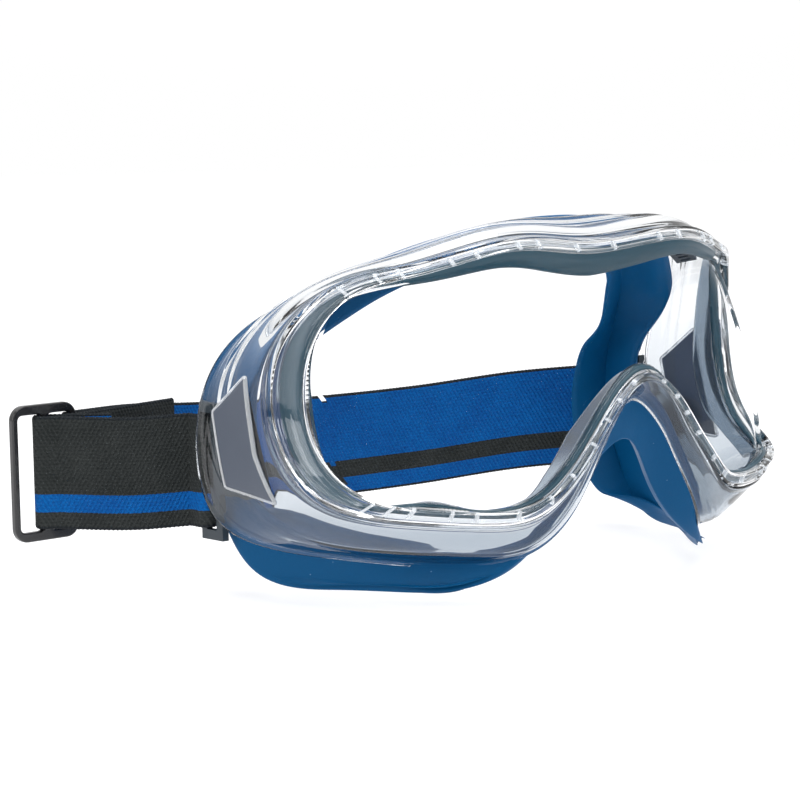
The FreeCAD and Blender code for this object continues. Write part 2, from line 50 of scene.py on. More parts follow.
# Half outlines of the goggles in millimetres, from the brow's centre round the left side to the nose.
outlines = {
    "window": [(0, -46, 42), (18, -47.5, 43.5), (36, -47.5, 43.5), (56, -39, 38.5), (70, -28, 33),
               (76.5, -23.5, 21), (78.2, -24.7, 4.5), (76.6, -29.8, -7.5), (74, -39, -13.5), (66, -50, -16.8),
               (52, -56, -18.2), (38.2, -59.5, -18), (29, -62, -12.8), (20, -63, -3), (11, -63.5, 6.5),
               (0, -63.5, 12)],
    "rim": [(0, -43.5, 45.5), (18, -45, 47), (37, -45, 47), (58, -36, 42), (74, -25, 37.1),
            (84, -15, 23.5), (85.7, -12.1, 4.6), (85, -21.2, -11), (81, -33.7, -18.2), (66.5, -46, -21.7),
            (52, -54.5, -23.2), (37, -58, -22.6), (27, -61, -15), (17, -62, -4), (9.5, -62.5, 5),
            (0, -62.2, 10)],
    "ridge": [(0, -36, 50), (18, -37, 51), (37, -35, 50), (57, -24, 43.5), (74, -9, 35), (84, 2, 20),
              (86, 6, 2), (85, -1, -17), (79, -15, -27), (66, -33, -30.5), (51, -44, -32),
              (35.5, -54.5, -30.5), (25, -60, -20.5), (16.3, -61, -7.5), (9, -61.2, 2.3), (0, -60.3, 7.4)],
    "rear": [(0, -30, 51), (18, -30, 51), (37, -25, 47.5), (56, -12, 39.5), (73, 2, 29.5), (82.5, 12, 18),
             (86, 18, 0), (85.5, 14, -22), (78, 3, -31), (66, -16, -34), (50, -32, -36), (34.5, -48, -34),
             (24.5, -55.5, -25), (15.5, -57, -12), (8.8, -57, -2), (0, -56, 4.5)],
    "face": [(0, -27, 52), (18, -24, 50.5), (37, -14, 45), (50, -4, 39), (62, 7, 30.5), (73, 18.5, 19),
             (77, 26, 3), (77, 24, -18), (75, 11, -39), (66, -13, -43), (56, -28, -43), (46.5, -40, -42),
             (34.5, -46, -37.5), (22.5, -47, -28), (11.5, -50, -15.5), (0, -53.5, -6.5)],
}
ringCount = 420


def wholeRing(half):
    half = np.array(half, float)
    return np.vstack([half, half[-2:0:-1] * [-1, 1, 1]])


def ringSpline(points, knots, places):
    # Smooth closed cubic line through the points, with curvature that carries on at each of them.
    count = len(points)
    gap = np.diff(np.append(knots, knots[0] + places[-1]))
    slope = (np.roll(points, -1, 0) - points) / gap[:, None]
    system = np.zeros((count, count))
    for i in range(count):
        system[i, i - 1] = gap[i]
        system[i, i] = 2 * (gap[i - 1] + gap[i])
        system[i, (i + 1) % count] = gap[i - 1]
    right = 3 * (gap[:, None] * np.roll(slope, 1, 0) + np.roll(gap, 1)[:, None] * slope)
    tangent = np.linalg.solve(system, right)
    spots = places[:-1]
    cell = np.clip(np.searchsorted(knots, spots, side="right") - 1, 0, count - 1)
    t = ((spots - knots[cell]) / gap[cell])[:, None]
    h = gap[cell][:, None]
    after = (cell + 1) % count
    return (points[cell] * (2 * t ** 3 - 3 * t ** 2 + 1) + tangent[cell] * h * (t ** 3 - 2 * t ** 2 + t)
            + points[after] * (3 * t ** 2 - 2 * t ** 3) + tangent[after] * h * (t ** 3 - t ** 2))


wholeRings = {name: wholeRing(half) for name, half in outlines.items()}
meanRing = sum(wholeRings.values()) / len(wholeRings)
stepLengths = np.linalg.norm(np.roll(meanRing, -1, 0) - meanRing, axis=1) ** 0.75
knots = np.concatenate([[0], np.cumsum(stepLengths)[:-1]])
places = np.linspace(0, stepLengths.sum(), ringCount + 1)
rings = {name: ringSpline(ring, knots, places) for name, ring in wholeRings.items()}


def aroundValue(table):
    # A value at each station of the half outline, made smooth over the whole ring.
    values = np.array(table, float)
    values = np.append(values, values[-2:0:-1])
    return np.interp(places[:-1], np.append(knots, places[-1]), np.append(values, values[0]))


def unit(vectors):
    return vectors / np.maximum(np.linalg.norm(vectors, axis=-1, keepdims=True), 1e-12)


def sheetNormals(grid):
    # Outward normals of a grid of rings that run from the front to the back.
    along = np.roll(grid, -1, 1) - np.roll(grid, 1, 1)
    across = np.empty_like(grid)
    across[1:-1] = grid[2:] - grid[:-2]
    across[0] = grid[1] - grid[0]
    across[-1] = grid[-1] - grid[-2]
    return unit(np.cross(along, across))


zoneNames = ["window", "rim", "ridge", "rear"]


def surfacePoint(place):
    # place 0 is the window's edge, 1 the rim, 2 the ridge and 3 the rear bead.
    samples = np.stack([rings[name] for name in zoneNames])
    if place <= 0:
        return samples[0] + (samples[1] - samples[0]) * place
    if place >= 3:
        return samples[3] + (samples[3] - samples[2]) * (place - 3)
    cell = int(place)
    t = place - cell
    before = samples[cell] - samples[cell - 1] if cell > 0 else samples[1] - samples[0]
    here = samples[cell + 1] - samples[cell]
    after = samples[cell + 2] - samples[cell + 1] if cell < 2 else samples[3] - samples[2]
    startTangent = (before + here) / 2
    endTangent = (here + after) / 2
    return (samples[cell] * (2 * t ** 3 - 3 * t ** 2 + 1) + startTangent * (t ** 3 - 2 * t ** 2 + t)
            + samples[cell + 1] * (3 * t ** 2 - 2 * t ** 3) + endTangent * (t ** 3 - t ** 2))


def surfaceNormal(place):
    ahead = surfacePoint(place + 0.06)
    behind = surfacePoint(place - 0.06)
    here = surfacePoint(place)
    along = np.roll(here, -1, 0) - np.roll(here, 1, 0)
    return unit(np.cross(along, ahead - behind))


def lifted(place, lift):
    return surfacePoint(place) + surfaceNormal(place) * np.asarray(lift).reshape(-1, 1)


def makeObject(name, points, faces, smooth=True):
    mesh = bpy.data.meshes.new(name)
    mesh.from_pydata([tuple(p) for p in np.asarray(points) * mm], [], faces)
    mesh.update()
    mesh.polygons.foreach_set("use_smooth", [smooth] * len(mesh.polygons))
    made = bpy.data.objects.new(name, mesh)
    scene.collection.objects.link(made)
    return made


def closedBand(name, loops):
    # A solid hoop: each loop is a ring of points, and the loops close round the hoop's section.
    loops = np.asarray(loops)
    sections, count = loops.shape[:2]
    faces = []
    for i in range(sections):
        for j in range(count):
            a, b = i * count + j, i * count + (j + 1) % count
            c, d = ((i + 1) % sections) * count + (j + 1) % count, ((i + 1) % sections) * count + j
            faces.append((a, b, c, d))
    return faceOutward(makeObject(name, loops.reshape(-1, 3), faces))


def faceOutward(piece):
    mesh = piece.data
    co = np.empty(len(mesh.vertices) * 3)
    mesh.vertices.foreach_get("co", co)
    co = co.reshape(-1, 3)
    volume = 0
    mesh.calc_loop_triangles()
    for triangle in mesh.loop_triangles:
        a, b, c = (co[i] for i in triangle.vertices)
        volume += np.dot(a, np.cross(b, c))
    if volume < 0:
        mesh.flip_normals()
    return piece


def addBevel(piece, width, segments=2, angle=35):
    bevel = piece.modifiers.new("softEdges", "BEVEL")
    bevel.width = width * mm
    bevel.segments = segments
    bevel.limit_method = "ANGLE"
    bevel.angle_limit = math.radians(angle)
    bevel.harden_normals = False
    return bevel


def smoothByAngle(piece, angle=40):
    piece.data.set_sharp_from_angle(angle=math.radians(angle))


# Materials: the groups that several finishes share come first.
def newGroup(name, inputs, outputs):
    group = bpy.data.node_groups.new(name, "ShaderNodeTree")
    for label, kind, value in inputs:
        socket = group.interface.new_socket(name=label, in_out="INPUT", socket_type=kind)
        if value is not None:
            socket.default_value = value
    for label, kind in outputs:
        group.interface.new_socket(name=label, in_out="OUTPUT", socket_type=kind)
    return group, group.nodes.new("NodeGroupInput"), group.nodes.new("NodeGroupOutput")


def node(tree, kind, values=None, **settings):
    made = tree.nodes.new(kind)
    for key, value in settings.items():
        setattr(made, key, value)
    for key, value in (values or {}).items():
        made.inputs[key].default_value = value
    return made


def maths(tree, operation, first, second=None, third=None):
    made = tree.nodes.new("ShaderNodeMath")
    made.operation = operation
    for i, value in enumerate((first, second, third)):
        if value is None:
            continue
        if hasattr(value, "is_output"):
            tree.links.new(value, made.inputs[i])
        else:
            made.inputs[i].default_value = value
    return made.outputs[0]


def mixColour(tree, factor, first, second):
    made = tree.nodes.new("ShaderNodeMix")
    made.data_type = "RGBA"
    for socket, value in ((made.inputs[0], factor), (made.inputs[6], first), (made.inputs[7], second)):
        if hasattr(value, "is_output"):
            tree.links.new(value, socket)
        else:
            socket.default_value = value
    return made.outputs[2]


def grainNodes():
    # Fine uneven grain: a height for the bump and a light and dark mask.
    group, source, result = newGroup(
        "surfaceGrain",
        [("Vector", "NodeSocketVector", None), ("Scale", "NodeSocketFloat", 900.0),
         ("Contrast", "NodeSocketFloat", 1.0)],
        [("Height", "NodeSocketFloat"), ("Mask", "NodeSocketFloat")])
    fine = node(group, "ShaderNodeTexNoise", {"Detail": 3.0, "Roughness": 0.6})
    broad = node(group, "ShaderNodeTexNoise", {"Detail": 2.0})
    group.links.new(source.outputs["Vector"], fine.inputs["Vector"])
    group.links.new(source.outputs["Scale"], fine.inputs["Scale"])
    group.links.new(source.outputs["Vector"], broad.inputs["Vector"])
    group.links.new(maths(group, "MULTIPLY", source.outputs["Scale"], 0.06), broad.inputs["Scale"])
    both = maths(group, "ADD", maths(group, "MULTIPLY", fine.outputs[0], 0.6),
                 maths(group, "MULTIPLY", broad.outputs[0], 0.4))
    mask = maths(group, "MULTIPLY_ADD", maths(group, "SUBTRACT", both, 0.5), source.outputs["Contrast"], 0.5)
    group.links.new(fine.outputs[0], result.inputs["Height"])
    group.links.new(mask, result.inputs["Mask"])
    return group


def dustGroup():
    # Small bright dust specks and faint smears that roughen a clean surface.
    group, source, result = newGroup(
        "dustAndSmears",
        [("Vector", "NodeSocketVector", None), ("Specks", "NodeSocketFloat", 260.0),
         ("Amount", "NodeSocketFloat", 0.2)],
        [("Specks", "NodeSocketFloat"), ("Roughness", "NodeSocketFloat")])
    cells = node(group, "ShaderNodeTexVoronoi", {"Randomness": 1.0})
    group.links.new(source.outputs["Vector"], cells.inputs["Vector"])
    group.links.new(source.outputs["Specks"], cells.inputs["Scale"])
    dots = maths(group, "LESS_THAN", cells.outputs["Distance"], 0.055)
    cellColour = node(group, "ShaderNodeSeparateColor")
    group.links.new(cells.outputs["Color"], cellColour.inputs[0])
    chosen = maths(group, "GREATER_THAN", cellColour.outputs[0], 0.8)
    smear = node(group, "ShaderNodeTexNoise", {"Scale": 45.0, "Detail": 4.0, "Distortion": 0.6})
    group.links.new(source.outputs["Vector"], smear.inputs["Vector"])
    speckMask = maths(group, "MULTIPLY", maths(group, "MULTIPLY", dots, chosen), source.outputs["Amount"])
    rough = maths(group, "MULTIPLY", maths(group, "POWER", smear.outputs[0], 3.0), source.outputs["Amount"])
    group.links.new(speckMask, result.inputs["Specks"])
    group.links.new(rough, result.inputs["Roughness"])
    return group


def knitGroup():
    # Diagonal ribs of a knitted elastic from the webbing's own length and width in metres.
    group, source, result = newGroup(
        "knitRibs",
        [("Length", "NodeSocketFloat", 0.0), ("Width", "NodeSocketFloat", 0.0),
         ("Pitch", "NodeSocketFloat", 0.0011)],
        [("Height", "NodeSocketFloat"), ("Fleck", "NodeSocketFloat")])
    turn = maths(group, "DIVIDE", 6.28318, source.outputs["Pitch"])
    slant = maths(group, "MULTIPLY", source.outputs["Width"], 0.55)
    slanted = maths(group, "ADD", source.outputs["Length"], slant)
    ribs = maths(group, "SINE", maths(group, "MULTIPLY", slanted, turn))
    crossTurn = maths(group, "MULTIPLY", turn, 1.3)
    crossRows = maths(group, "SINE", maths(group, "MULTIPLY", source.outputs["Width"], crossTurn))
    place = node(group, "ShaderNodeCombineXYZ")
    group.links.new(source.outputs["Length"], place.inputs[0])
    group.links.new(source.outputs["Width"], place.inputs[1])
    fuzz = node(group, "ShaderNodeTexNoise", {"Scale": 2600.0, "Detail": 2.0, "Roughness": 0.7})
    group.links.new(place.outputs[0], fuzz.inputs["Vector"])
    height = maths(group, "ADD", maths(group, "MULTIPLY", ribs, 0.3), maths(group, "MULTIPLY", crossRows, 0.2))
    height = maths(group, "ADD", height, fuzz.outputs[0])
    fleck = maths(group, "GREATER_THAN", fuzz.outputs[0], 0.68)
    group.links.new(height, result.inputs["Height"])
    group.links.new(fleck, result.inputs["Fleck"])
    return group


grainGroup = grainNodes()
dustMarks = dustGroup()
knitRibs = knitGroup()


def newMaterial(name):
    material = bpy.data.materials.new(name)
    material.use_nodes = True
    tree = material.node_tree
    shader = tree.nodes["Principled BSDF"]
    return material, tree, shader


def useGroup(tree, group, values):
    made = tree.nodes.new("ShaderNodeGroup")
    made.node_tree = group
    for key, value in values.items():
        made.inputs[key].default_value = value
    return made


def addBump(tree, shader, height, strength, distance):
    bump = node(tree, "ShaderNodeBump", {"Strength": strength, "Distance": distance})
    tree.links.new(height, bump.inputs["Height"])
    tree.links.new(bump.outputs[0], shader.inputs["Normal"])


clearFinish = {
    "shell": {"colour": (0.95, 0.965, 0.975, 1), "smoke": (0.30, 0.36, 0.42, 1), "roughness": 0.015,
              "ior": 1.47, "specular": 0.5, "haze": 0.0, "lightThrough": (0.93, 0.95, 0.97, 1)},
    "lens": {"colour": (0.99, 0.995, 1.0, 1), "smoke": (0.99, 0.995, 1.0, 1), "roughness": 0.0, "ior": 1.015,
             "specular": 0.1, "haze": 0.0, "lightThrough": (0.98, 0.99, 1.0, 1)},
    "rim": {"colour": (0.96, 0.97, 0.98, 1), "smoke": (0.55, 0.60, 0.65, 1), "roughness": 0.02, "ior": 1.45,
            "specular": 0.5, "haze": 0.0, "lightThrough": (0.93, 0.95, 0.97, 1)},
    "frosted": {"colour": (0.96, 0.97, 0.98, 1), "smoke": (0.96, 0.97, 0.98, 1), "roughness": 0.12, "ior": 1.45,
                "specular": 0.6, "haze": 0.28, "lightThrough": (0.93, 0.95, 0.97, 1)},
    "tint": {"colour": (0.30, 0.36, 0.42, 1), "smoke": (0.16, 0.20, 0.25, 1), "roughness": 0.08, "ior": 1.3,
             "specular": 0.4, "haze": 0.10, "lightThrough": (0.55, 0.60, 0.66, 1)},
}


def clearPlastic(name, finish):
    # Clear moulded plastic that lets lamp light through, with a smoky tint where its mesh carries one.
    material, tree, shader = newMaterial(name)
    shader.inputs["Transmission Weight"].default_value = 1.0 - finish["haze"]
    shader.inputs["Metallic"].default_value = 0.0
    shader.inputs["IOR"].default_value = finish["ior"]
    shader.inputs["Specular IOR Level"].default_value = finish["specular"]
    place = node(tree, "ShaderNodeTexCoord")
    dust = useGroup(tree, dustMarks, {"Specks": 180.0, "Amount": 0.10})
    tree.links.new(place.outputs["Object"], dust.inputs["Vector"])
    rough = maths(tree, "ADD", dust.outputs["Roughness"], finish["roughness"])
    tree.links.new(rough, shader.inputs["Roughness"])
    smoke = node(tree, "ShaderNodeAttribute", attribute_name="smoke")
    tinted = mixColour(tree, smoke.outputs["Fac"], finish["colour"], finish["smoke"])
    base = mixColour(tree, dust.outputs["Specks"], tinted, (1, 1, 1, 1))
    tree.links.new(base, shader.inputs["Base Color"])
    through = node(tree, "ShaderNodeBsdfTransparent", {"Color": finish["lightThrough"]})
    rays = node(tree, "ShaderNodeLightPath")
    either = maths(tree, "MAXIMUM", rays.outputs["Is Shadow Ray"], rays.outputs["Is Diffuse Ray"])
    mixer = node(tree, "ShaderNodeMixShader")
    tree.links.new(either, mixer.inputs[0])
    tree.links.new(shader.outputs[0], mixer.inputs[1])
    tree.links.new(through.outputs[0], mixer.inputs[2])
    tree.links.new(mixer.outputs[0], tree.nodes["Material Output"].inputs["Surface"])
    return material


def sealRubber():
    material, tree, shader = newMaterial("blueSealRubber")
    place = node(tree, "ShaderNodeTexCoord")
    grain = useGroup(tree, grainGroup, {"Scale": 1400.0, "Contrast": 0.7})
    dust = useGroup(tree, dustMarks, {"Specks": 420.0, "Amount": 0.5})
    tree.links.new(place.outputs["Object"], grain.inputs["Vector"])
    tree.links.new(place.outputs["Object"], dust.inputs["Vector"])
    body = mixColour(tree, grain.outputs["Mask"], (0.0001, 0.048, 0.135, 1), (0.0003, 0.074, 0.190, 1))
    # Painted sheen: a lighter blue is mixed in where the surface turns side-on to the camera, standing in for
    # light on the seal's glancing sides.
    edge = node(tree, "ShaderNodeLayerWeight", {"Blend": 0.28})
    paintedSheenColour = mixColour(tree, edge.outputs["Facing"], body, (0.001, 0.095, 0.250, 1))
    dusty = mixColour(tree, dust.outputs["Specks"], paintedSheenColour, (0.35, 0.55, 0.7, 1))
    tree.links.new(dusty, shader.inputs["Base Color"])
    tree.links.new(maths(tree, "ADD", 0.38, dust.outputs["Roughness"]), shader.inputs["Roughness"])
    shader.inputs["Specular IOR Level"].default_value = 0.12
    addBump(tree, shader, grain.outputs["Height"], 0.10, 0.0004)
    return material


def slateTrim(name, dark, light, roughness):
    material, tree, shader = newMaterial(name)
    place = node(tree, "ShaderNodeTexCoord")
    grain = useGroup(tree, grainGroup, {"Scale": 2200.0, "Contrast": 1.0})
    tree.links.new(place.outputs["Object"], grain.inputs["Vector"])
    tree.links.new(mixColour(tree, grain.outputs["Mask"], dark, light), shader.inputs["Base Color"])
    rough = maths(tree, "MULTIPLY_ADD", grain.outputs["Mask"], 0.15, roughness)
    tree.links.new(rough, shader.inputs["Roughness"])
    addBump(tree, shader, grain.outputs["Height"], 0.12, 0.0002)
    return material


def glossBlack():
    material, tree, shader = newMaterial("glossBlackPlastic")
    place = node(tree, "ShaderNodeTexCoord")
    grain = useGroup(tree, grainGroup, {"Scale": 500.0, "Contrast": 1.0})
    dust = useGroup(tree, dustMarks, {"Specks": 700.0, "Amount": 0.5})
    tree.links.new(place.outputs["Object"], grain.inputs["Vector"])
    tree.links.new(place.outputs["Object"], dust.inputs["Vector"])
    base = mixColour(tree, grain.outputs["Mask"], (0.006, 0.006, 0.007, 1), (0.012, 0.012, 0.013, 1))
    dusty = mixColour(tree, dust.outputs["Specks"], base, (0.5, 0.5, 0.5, 1))
    tree.links.new(dusty, shader.inputs["Base Color"])
    tree.links.new(maths(tree, "ADD", 0.16, dust.outputs["Roughness"]), shader.inputs["Roughness"])
    shader.inputs["Coat Weight"].default_value = 0.3
    addBump(tree, shader, grain.outputs["Height"], 0.04, 0.0004)
    return material


knit = {
    "charcoal": ((0.015, 0.018, 0.018, 1), (0.058, 0.063, 0.062, 1)),
    "blue": ((0.0004, 0.062, 0.26, 1), (0.002, 0.165, 0.52, 1)),
    "edge": ((0.010, 0.013, 0.016, 1), (0.030, 0.034, 0.038, 1)),
    "outerStripe": (0.15, 0.31),
    "innerStripe": (0.17, 0.34),
    "edgeWidth": 0.022,
}


def knitWebbing():
    # The map's second value is 0 to 1 over the outer face from its lower edge, and 1 to 2 over the inner face.
    material, tree, shader = newMaterial("knitWebbing")
    lay = node(tree, "ShaderNodeUVMap", uv_map="webbing")
    parts = node(tree, "ShaderNodeSeparateXYZ")
    tree.links.new(lay.outputs[0], parts.inputs[0])
    length, lap = parts.outputs[0], parts.outputs[1]
    inner = maths(tree, "GREATER_THAN", lap, 1.0)
    width = maths(tree, "FRACT", lap)
    ribs = useGroup(tree, knitRibs, {"Pitch": 0.0012})
    tree.links.new(length, ribs.inputs["Length"])
    tree.links.new(maths(tree, "MULTIPLY", width, 0.03), ribs.inputs["Width"])
    place = node(tree, "ShaderNodeTexCoord")
    grain = useGroup(tree, grainGroup, {"Scale": 1500.0, "Contrast": 1.8})
    tree.links.new(place.outputs["Object"], grain.inputs["Vector"])
    wander = maths(tree, "MULTIPLY_ADD", maths(tree, "SUBTRACT", grain.outputs["Height"], 0.5), 0.012, width)

    def band(low, high):
        above = maths(tree, "GREATER_THAN", wander, low)
        below = maths(tree, "LESS_THAN", wander, high)
        return maths(tree, "MULTIPLY", above, below)

    tone = maths(tree, "MULTIPLY_ADD", ribs.outputs["Height"], 0.35, grain.outputs["Mask"])
    tone = maths(tree, "MULTIPLY_ADD", tone, 0.8, -0.3)
    dark = mixColour(tree, tone, *knit["charcoal"])
    blue = mixColour(tree, tone, *knit["blue"])
    binding = mixColour(tree, tone, *knit["edge"])
    outerFace = mixColour(tree, band(*knit["outerStripe"]), dark, blue)
    innerFace = mixColour(tree, band(*knit["innerStripe"]), blue, dark)
    face = mixColour(tree, inner, outerFace, innerFace)
    middle = band(knit["edgeWidth"], 1 - knit["edgeWidth"])
    whole = mixColour(tree, middle, binding, face)
    fleck = maths(tree, "MULTIPLY", ribs.outputs["Fleck"], 0.16)
    flecked = mixColour(tree, fleck, whole, (0.45, 0.52, 0.55, 1))
    tree.links.new(flecked, shader.inputs["Base Color"])
    tree.links.new(maths(tree, "MULTIPLY_ADD", grain.outputs["Mask"], 0.2, 0.72), shader.inputs["Roughness"])
    shader.inputs["Specular IOR Level"].default_value = 0.12
    addBump(tree, shader, ribs.outputs["Height"], 0.8, 0.0006)
    return material


shellPlastic = clearPlastic("clearShellPlastic", clearFinish["shell"])
lensPlastic = clearPlastic("clearLensPlastic", clearFinish["lens"])
rimPlastic = clearPlastic("clearRimPlastic", clearFinish["rim"])
frostedPlastic = clearPlastic("frostedRibPlastic", clearFinish["frosted"])
tintPlastic = clearPlastic("smokyTunnelPlastic", clearFinish["tint"])
sealFinish = sealRubber()
gasketFinish = slateTrim("darkGasketRubber", (0.003, 0.030, 0.052, 1), (0.006, 0.055, 0.085, 1), 0.35)
panelFinish = slateTrim("slatePanelPlastic", (0.050, 0.062, 0.088, 1), (0.075, 0.090, 0.120, 1), 0.42)
clipFinish = slateTrim("charcoalClipPlastic", (0.012, 0.020, 0.028, 1), (0.025, 0.036, 0.046, 1), 0.35)
ventFinish = slateTrim("darkVentPlastic", (0.010, 0.016, 0.024, 1), (0.020, 0.030, 0.042, 1), 0.4)
webFinish = knitWebbing()
sliderFinish = glossBlack()
print("materials ready")


def dress(piece, finish, body, slotName, *nodes):
    piece.data.materials.clear()
    piece.data.materials.append(finish)
    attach(piece, body)
    if nodes:
        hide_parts(*nodes)
    return piece


# Shell: the outer profile as place, lift and how much of the lift stays where the zone is narrow.
shell = {
    "wall": 1.7,
    "seat": [(1.10, 1.2), (1.06, 2.6), (0.98, 3.3), (0.62, 3.5), (0.30, 3.4)],
    "profile": [(0.30, -3.4), (0.62, -3.5), (0.93, -3.4), (0.985, -3.0), (1.02, -1.8), (1.035, -0.6),
                (1.055, 0.1), (1.09, 0.35), (1.13, 0.25), (1.17, -0.25), (1.23, -0.55), (1.32, -0.45),
                (1.45, -0.05), (1.60, 0.35), (1.74, 0.45), (1.84, 0.15), (1.89, -0.25), (1.94, -0.2),
                (1.99, 0.25), (2.04, 0.35), (2.10, 0.0), (2.16, -0.4), (2.22, -0.35), (2.29, 0.1),
                (2.36, 0.25), (2.44, 0.0), (2.54, -0.2), (2.66, -0.15), (2.78, -0.05), (2.86, -0.1),
                (2.90, 0.15), (2.94, 0.55), (2.975, 0.65), (3.01, 0.45), (3.03, 0.0)],
}
pleatShare = aroundValue([1, 1, 1, 1, 0.9, 0.7, 0.5, 0.3, 0.2, 0.25, 0.25, 0.15, 0, 0, 0, 0])
shellSmoke = aroundValue([0, 0, 0, 0, 0.05, 0.1, 0.35, 0.6, 0.75, 0.8, 0.85, 0.8, 0.75, 0.8, 0.7, 0.5])


def shellPiece():
    profile = list(shell["profile"])
    profile += [(place, -shell["wall"]) for place in (2.99, 2.8, 2.5, 2.2, 2.0, 1.8, 1.5, 1.3, 1.16)]
    profile += [(place, -shell["wall"] - drop) for place, drop in shell["seat"]]
    loops, smoke = [], []
    for k, (place, lift) in enumerate(profile):
        pleated = k < len(shell["profile"]) and 1.15 < place < 2.85
        loops.append(lifted(place, lift * pleatShare if pleated else np.full(ringCount, lift)))
        smoke.append(shellSmoke * np.interp(place, [1.0, 1.25, 2.8, 2.9], [0.15, 1, 1, 0]))
    made = closedBand("visorShell", loops)
    writeSmoke(made, np.concatenate(smoke))
    return made


def writeSmoke(piece, values):
    layer = piece.data.attributes.new("smoke", "FLOAT", "POINT")
    layer.data.foreach_set("value", np.asarray(values, float))


shellObject = dress(shellPiece(), shellPlastic, "goggle_frame", "shell", "visor_shell")

# Ladder rim: a floor with two rails, and small ribs across it at uneven steps.
ladder = {
    "section": [(0.30, -2.2), (0.30, -0.1), (0.33, 0.15), (0.42, 0.15), (0.45, -0.1), (0.46, -1.2), (0.50, -1.3),
                (0.78, -1.3), (0.83, -1.2), (0.84, -0.1), (0.87, 0.15), (0.97, 0.15), (1.0, -0.1), (1.0, -2.2)],
    "ribWidth": 0.9,
    "ribTop": -0.15,
    "ribFloor": -1.35,
    "ribs": [0.012, 0.045, 0.058, 0.082, 0.094, 0.118, 0.130, 0.150, 0.292, 0.304, 0.315, 0.338,
             0.352, 0.378, 0.402, 0.420, 0.442, 0.458, 0.472, 0.487],
}


def ladderPiece():
    loops = [lifted(place, np.full(ringCount, lift)) for place, lift in ladder["section"]]
    return closedBand("ladderRim", loops)


def ribPieces():
    points, faces = [], []
    inner, outer = surfacePoint(0.42), surfacePoint(0.87)
    normal = surfaceNormal(0.65)
    length = np.linalg.norm(np.roll(inner, -1, 0) - inner, axis=1)
    for spot in ladder["ribs"] + [1 - s for s in ladder["ribs"]]:
        j = int(spot * ringCount) % ringCount
        along = unit(inner[(j + 1) % ringCount] - inner[j]) * ladder["ribWidth"] / 2
        base = len(points)
        for height in (ladder["ribFloor"], ladder["ribTop"]):
            for centre, turn in ((inner[j], -1), (inner[j], 1), (outer[j], 1), (outer[j], -1)):
                points.append(centre + along * turn + normal[j] * height)
        faces += [(base + 3, base + 2, base + 1, base), (base + 4, base + 5, base + 6, base + 7)]
        faces += [(base + k, base + (k + 1) % 4, base + 4 + (k + 1) % 4, base + 4 + k) for k in range(4)]
    made = faceOutward(makeObject("ladderRibs", points, faces, smooth=False))
    addBevel(made, 0.15, 2, 30)
    return made


rimObject = dress(ladderPiece(), rimPlastic, "goggle_frame", "rim", "vent_rim")
dress(ribPieces(), frostedPlastic, "goggle_frame", "rim")

# Tunnel: the smoky wall inside the window's edge, deep at the temples and shallow at the nose.
tunnel = {
    "depth": [0.5, 0.5, 1, 2, 4, 9, 13, 13, 9, 4, 1, 3, 7, 9, 6, 3],
    "wall": 1.0,
    "flare": 0.3,
    "drop": 4.2,
}


def tunnelPiece():
    depth = aroundValue(tunnel["depth"])
    edge = lifted(0.32, np.full(ringCount, -tunnel["drop"]))
    inward = inwardDirections(rings["window"])
    back = np.array([0, 1.0, 0])
    loops = []
    for share in (0, 0.25, 0.5, 0.75, 0.93, 1.0):
        reach = (depth * share)[:, None]
        loops.append(edge + back * reach - inward * reach * tunnel["flare"])
    outer = [loop - inward * tunnel["wall"] for loop in loops[::-1]]
    made = closedBand("smokyTunnel", loops + outer)
    writeSmoke(made, np.full(len(made.data.vertices), 0.0))
    return made


print("shell and rim made")


# Gasket: the dark blue ring that shows inside the rim, wider over the brow's centre.
gasketWidth = aroundValue([5.5, 4.8, 3.6, 2.6, 2.0, 1.6, 1.2, 0.8, 0.5, 0.3, 0.2, 0.2, 0.3, 0.3, 0.5, 0.8])


def inwardDirections(ring):
    along = np.roll(ring, -1, 0) - np.roll(ring, 1, 0)
    inward = np.stack([along[:, 2], np.zeros(len(ring)), -along[:, 0]], 1)
    return unit(inward)


def gasketPiece():
    edge = lifted(0.30, np.full(ringCount, -2.5))
    seat = lifted(0.95, np.full(ringCount, -2.5))
    inward = inwardDirections(rings["window"])
    lip = edge + inward * gasketWidth[:, None] * 0.5 + np.array([0, 0.6, 0])
    tip = edge + inward * gasketWidth[:, None] + np.array([0, 1.6, 0])
    normal = surfaceNormal(0.5)
    loops = [seat, edge, lip, tip + normal * 0.2, tip - normal * 0.5, lip - normal * 0.8, edge - normal * 0.8,
             seat - normal * 0.8]
    return closedBand("lensGasket", loops)


dress(gasketPiece(), gasketFinish, "goggle_frame", "gasket", "lens_gasket")
dress(tunnelPiece(), tintPlastic, "goggle_frame", "shell")


# Lens: one clear pane that bows forward, from rows across the window.
lens = {"wall": 1.8, "depth": 3.4, "sideBulge": 4.5, "centreBulge": 1.2, "rowCount": 26}


